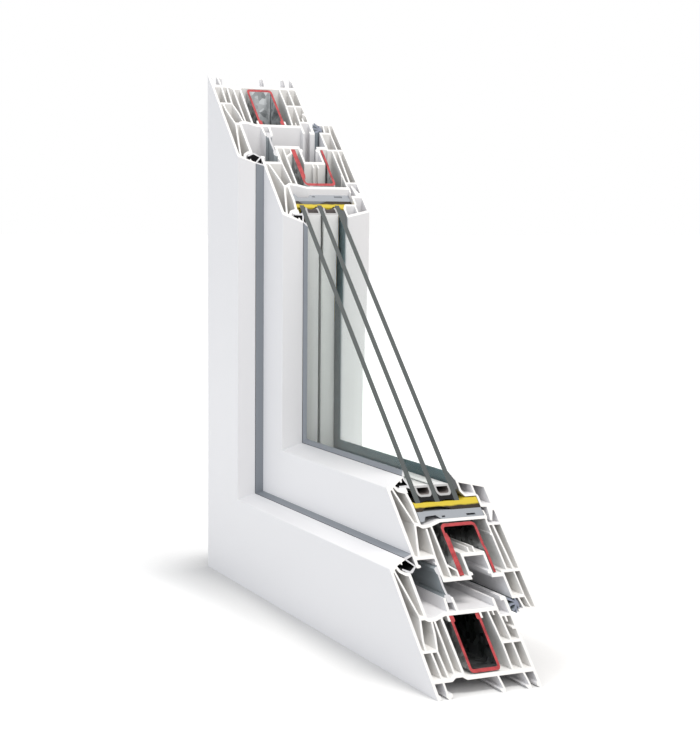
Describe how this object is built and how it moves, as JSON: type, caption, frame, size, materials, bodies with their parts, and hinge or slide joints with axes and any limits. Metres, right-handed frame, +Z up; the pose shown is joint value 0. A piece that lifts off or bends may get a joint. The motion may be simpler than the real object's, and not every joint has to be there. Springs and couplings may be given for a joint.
{
  "type": "window frame profile section",
  "caption": "Diagonally cut corner of a white PVC window, showing its chambered frame and sash, steel reinforcement, gaskets, glazing bead and insulated glass.",
  "frame": {"origin": "outer bottom corner of the frame's exterior face, where the sill and the jamb meet", "axes": "+X along the sill away from the corner, +Y from the exterior face to the interior, +Z up the jamb"},
  "size_m": [0.436, 0.1018, 0.436],
  "materials": {
    "pvc": "satin white PVC",
    "steel": "galvanised, cut ends painted red",
    "gasket": "matte slate grey",
    "glass": "clear float glass",
    "spacer": "matte mill finish",
    "sealant": "black",
    "packer": "moulded yellow",
    "bridge": "moulded grey-blue"
  },
  "bodies": {
    "root": {"outer_frame": "pvc", "sash_frame": "pvc", "frame_steel_sill": "steel", "frame_steel_jamb": "steel", "sash_steel_rail": "steel", "sash_steel_jamb": "steel", "glazing_bead_rail": "pvc", "glazing_bead_jamb": "pvc", "frame_outer_gasket": "gasket", "centre_gasket": "gasket", "sash_inner_gasket": "gasket", "glazing_gasket": "gasket", "bead_gasket": "gasket", "glass_outer": "glass", "glass_middle": "glass", "glass_inner": "glass", "spacer_outer": "spacer", "spacer_inner": "spacer", "sealant_outer": "sealant", "sealant_inner": "sealant", "packer_rail": "packer", "bridge_rail": "bridge", "packer_jamb": "packer", "bridge_jamb": "bridge"}
  },
  "joints": []
}
